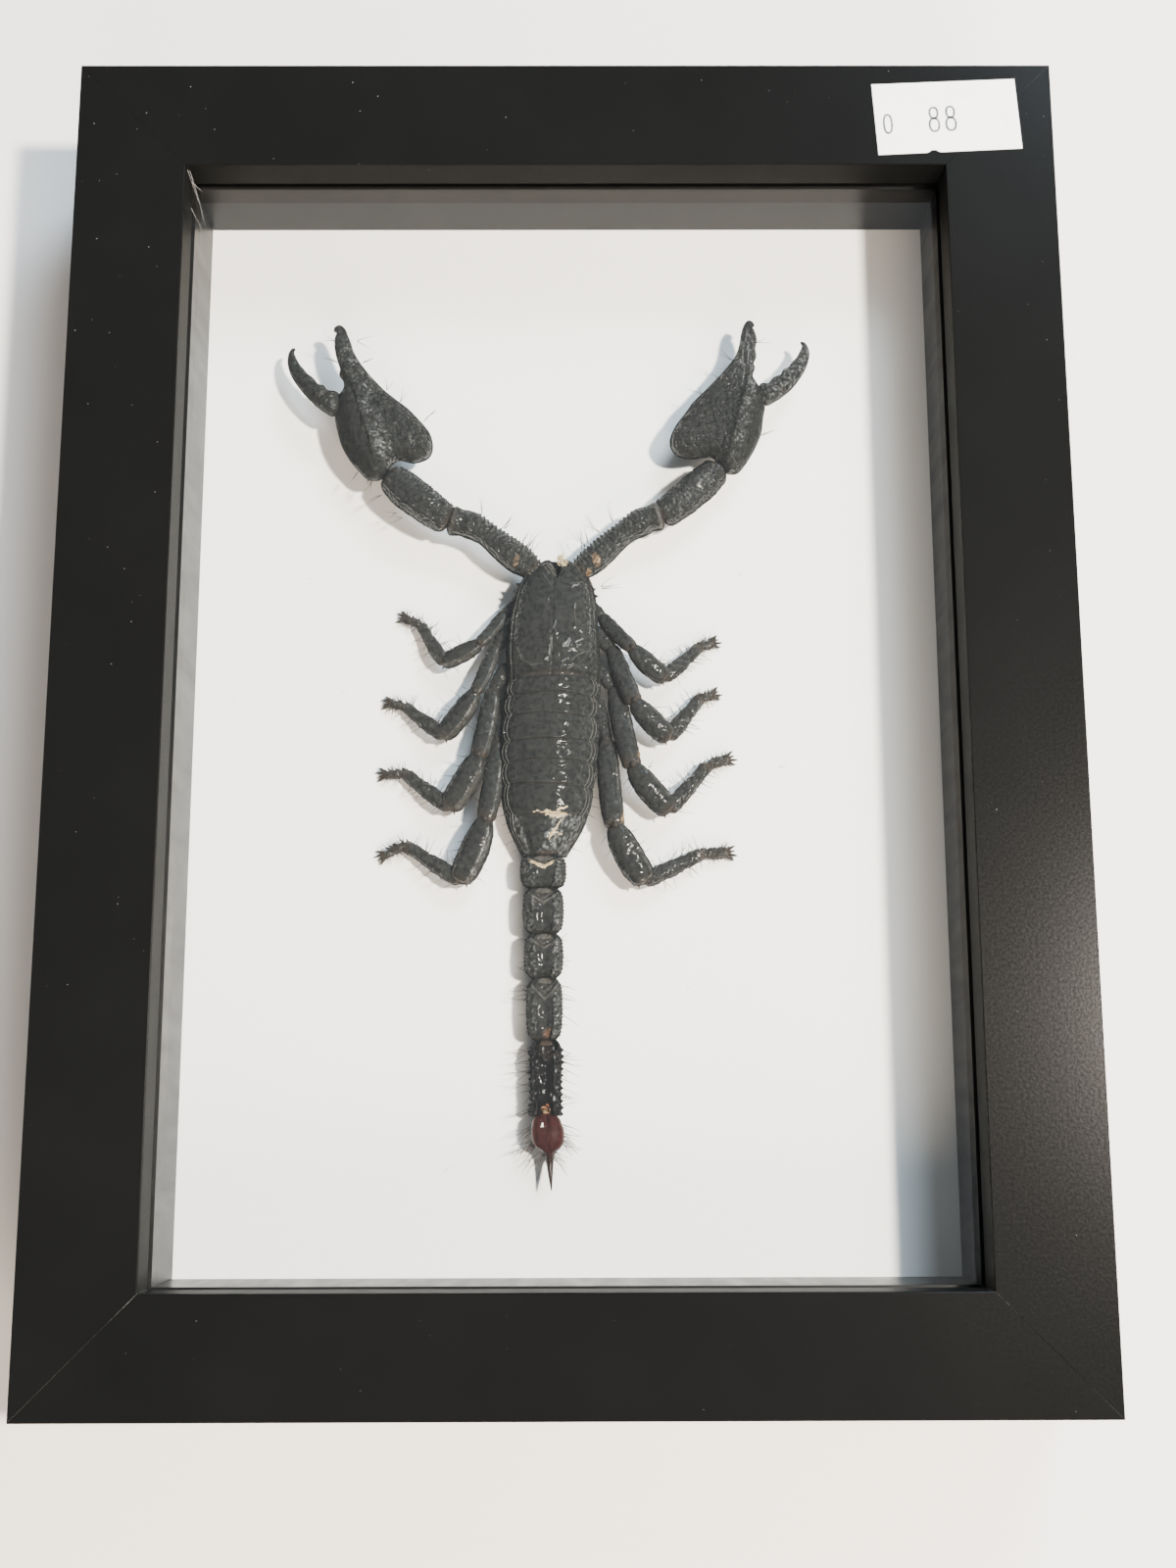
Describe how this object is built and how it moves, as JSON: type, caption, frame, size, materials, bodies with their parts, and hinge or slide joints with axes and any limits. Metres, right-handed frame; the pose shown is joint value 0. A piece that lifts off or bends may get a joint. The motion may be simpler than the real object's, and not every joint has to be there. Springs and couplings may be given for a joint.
{
  "type": "framed scorpion specimen",
  "caption": "Deep black box frame, glazed, holding a whole dried black scorpion with open pincers and straight tail on an off-white card, for a wall or shelf.",
  "frame": {"origin": "under the middle of the frame, on its back face", "axes": "+X to the picture's right, +Y from the bottom rail to the top rail, +Z out through the glass"},
  "size_m": [0.152, 0.203, 0.0303],
  "materials": {
    "frame": "black satin paint on a wood moulding",
    "spacer": "smooth black strip",
    "glass": "clear and polished",
    "card": "off-white card with a fine laid grain, matt",
    "board": "brown hardboard",
    "steel": "zinc-plated sheet",
    "shell": "near-black glossy shell with brownish joints",
    "sting": "dark red-brown glossy shell",
    "label": "white paper label"
  },
  "bodies": {
    "root": {"frame_rail_bottom": "frame", "frame_rail_left": "frame", "frame_rail_right": "frame", "frame_rail_top": "frame", "spacer_bottom": "spacer", "spacer_left": "spacer", "spacer_right": "spacer", "spacer_top": "spacer", "glass_pane": "glass", "mount_card": "card", "back_board": "board", "tab_bottom": "steel", "tab_left_lower": "steel", "tab_left_upper": "steel", "tab_right_lower": "steel", "tab_right_upper": "steel", "tab_top": "steel", "hanger_strip": "steel", "hanger_nail_left": "steel", "hanger_nail_right": "steel", "scorpion_body": "shell", "scorpion_tail": "shell", "pincer_arm_left": "shell", "pincer_hand_left": "shell", "pincer_finger_left": "shell", "leg_left_1": "shell", "leg_left_2": "shell", "leg_left_3": "shell", "leg_left_4": "shell", "pincer_arm_right": "shell", "pincer_hand_right": "shell", "pincer_finger_right": "shell", "leg_right_1": "shell", "leg_right_2": "shell", "leg_right_3": "shell", "leg_right_4": "shell", "scorpion_sting": "sting", "price_label": "label"}
  },
  "joints": []
}
